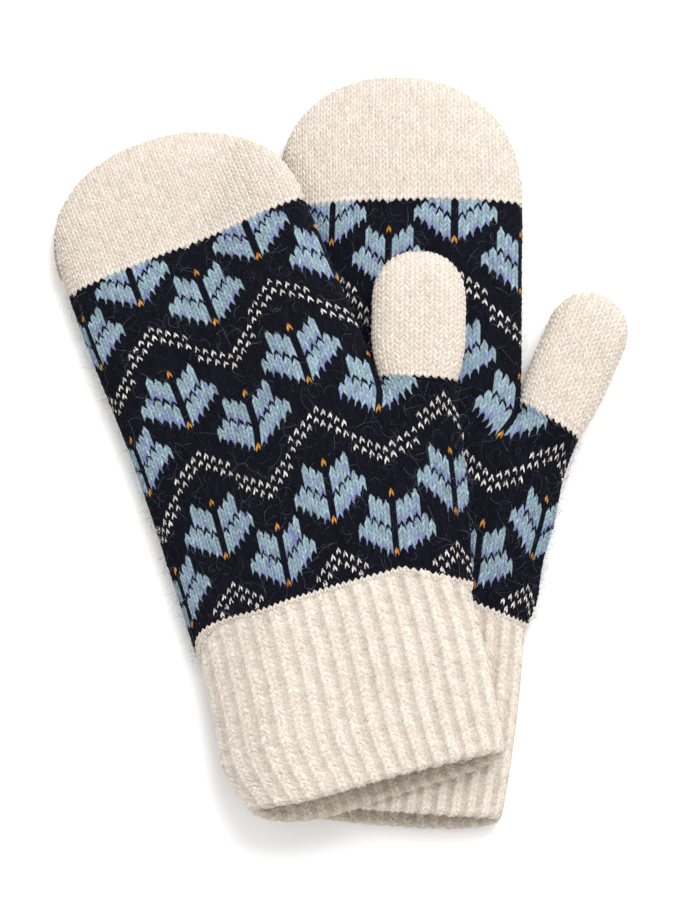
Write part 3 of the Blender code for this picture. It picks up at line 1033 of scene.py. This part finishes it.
def knit_cuff(mitten, wool):
    """The folded ribbed cuff, outside, hem and inside in one piece."""
    name = mitten.name
    rng = np.random.default_rng(mitten.seed)
    faces = [rib_face(mitten, side, rng) for side in (1, -1)]
    cuff = make_piece(f"{name}_cuff", faces, wool)
    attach(cuff, f"{name}_mitten")
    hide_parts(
        f"{name}_cuff_rib", f"{name}_cuff_hem", f"{name}_cuff_facing", f"{name}_wrist_seam"
    )
    return faces


def paint_inside(mitten, lining_wool, thread):
    """Materials for the hidden pieces, which keep their CAD shapes."""
    for word in ("hand_lining", "fingertip_seam", "lining_seam"):
        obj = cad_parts[f"{mitten.name}_{word}"]
        obj.data.materials.clear()
        obj.data.materials.append(lining_wool if "lining" in word else thread)


def make_mitten(mitten, wool, rib_wool, lining_wool, thread):
    """Every visible piece of one mitten, and materials for the hidden ones."""
    hand_faces = knit_hand(mitten, wool)
    cap_faces = knit_cap(mitten, wool)
    thumb_faces = knit_thumb(mitten, wool)
    line_thumb(mitten, lining_wool)
    cuff_faces = knit_cuff(mitten, rib_wool)
    add_fuzz(mitten, hand_faces, cap_faces + cuff_faces, thumb_faces, wool)
    paint_inside(mitten, lining_wool, thread)


def make_floor():
    """A pale matt table."""
    bpy.ops.mesh.primitive_plane_add(size=FLOOR_SIZE, location=(0, 0, FLOOR_LEVEL))
    floor = bpy.context.object
    floor.name = "floor"
    material = bpy.data.materials.new("pale_floor")
    material.use_nodes = True
    shader = material.node_tree.nodes["Principled BSDF"]
    shader.inputs["Base Color"].default_value = FLOOR_COLOUR
    shader.inputs["Roughness"].default_value = 0.8
    floor.data.materials.append(material)


def make_light():
    """A white surround, and a soft key light from above the fingertips' right."""
    world = bpy.data.worlds.new("studio")
    bpy.context.scene.world = world
    world.use_nodes = True
    world.node_tree.nodes["Background"].inputs["Color"].default_value = (1, 1, 1, 1)
    world.node_tree.nodes["Background"].inputs["Strength"].default_value = WORLD_LIGHT

    key = bpy.data.lights.new("key", "AREA")
    key.energy = KEY_LIGHT
    key.size = KEY_SIZE
    light = bpy.data.objects.new("key", key)
    light.location = KEY_PLACE
    light.rotation_euler = (-KEY_PLACE).to_track_quat("-Z", "Y").to_euler()
    bpy.context.scene.collection.objects.link(light)


def make_camera():
    """Nearly overhead, tipped a little to the cuffs, with a long lens."""
    camera = bpy.data.cameras.new("camera")
    camera.lens = CAMERA_LENS
    camera.sensor_width = CAMERA_SENSOR
    camera.clip_start = 0.05
    obj = bpy.data.objects.new("camera", camera)
    elevation = math.radians(CAMERA_ELEVATION)
    away = Vector((0, -math.cos(elevation), math.sin(elevation)))
    obj.location = CAMERA_TARGET + CAMERA_DISTANCE * away
    obj.rotation_euler = (math.pi / 2 - elevation, 0, 0)
    bpy.context.scene.collection.objects.link(obj)
    bpy.context.scene.camera = obj


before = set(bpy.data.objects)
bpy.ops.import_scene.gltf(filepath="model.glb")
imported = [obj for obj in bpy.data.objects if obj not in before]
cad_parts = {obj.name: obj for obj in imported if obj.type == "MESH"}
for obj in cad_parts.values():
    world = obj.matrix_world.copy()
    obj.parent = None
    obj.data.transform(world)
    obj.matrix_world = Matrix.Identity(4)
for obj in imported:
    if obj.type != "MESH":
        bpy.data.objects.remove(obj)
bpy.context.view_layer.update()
make_camera()
bpy.context.scene.view_settings.view_transform = "Standard"
make_floor()
make_light()
knit_wool = wool_material("wool_knit", 0.03)
rib_wool = wool_material("wool_rib", 0.12)
lining_wool = plain_knit_material("lining_knit", LINING_COLOUR)
seam_thread = plain_knit_material("seam_yarn", SEAM_COLOUR)
for each in (RIGHT, LEFT):
    make_mitten(each, knit_wool, rib_wool, lining_wool, seam_thread)
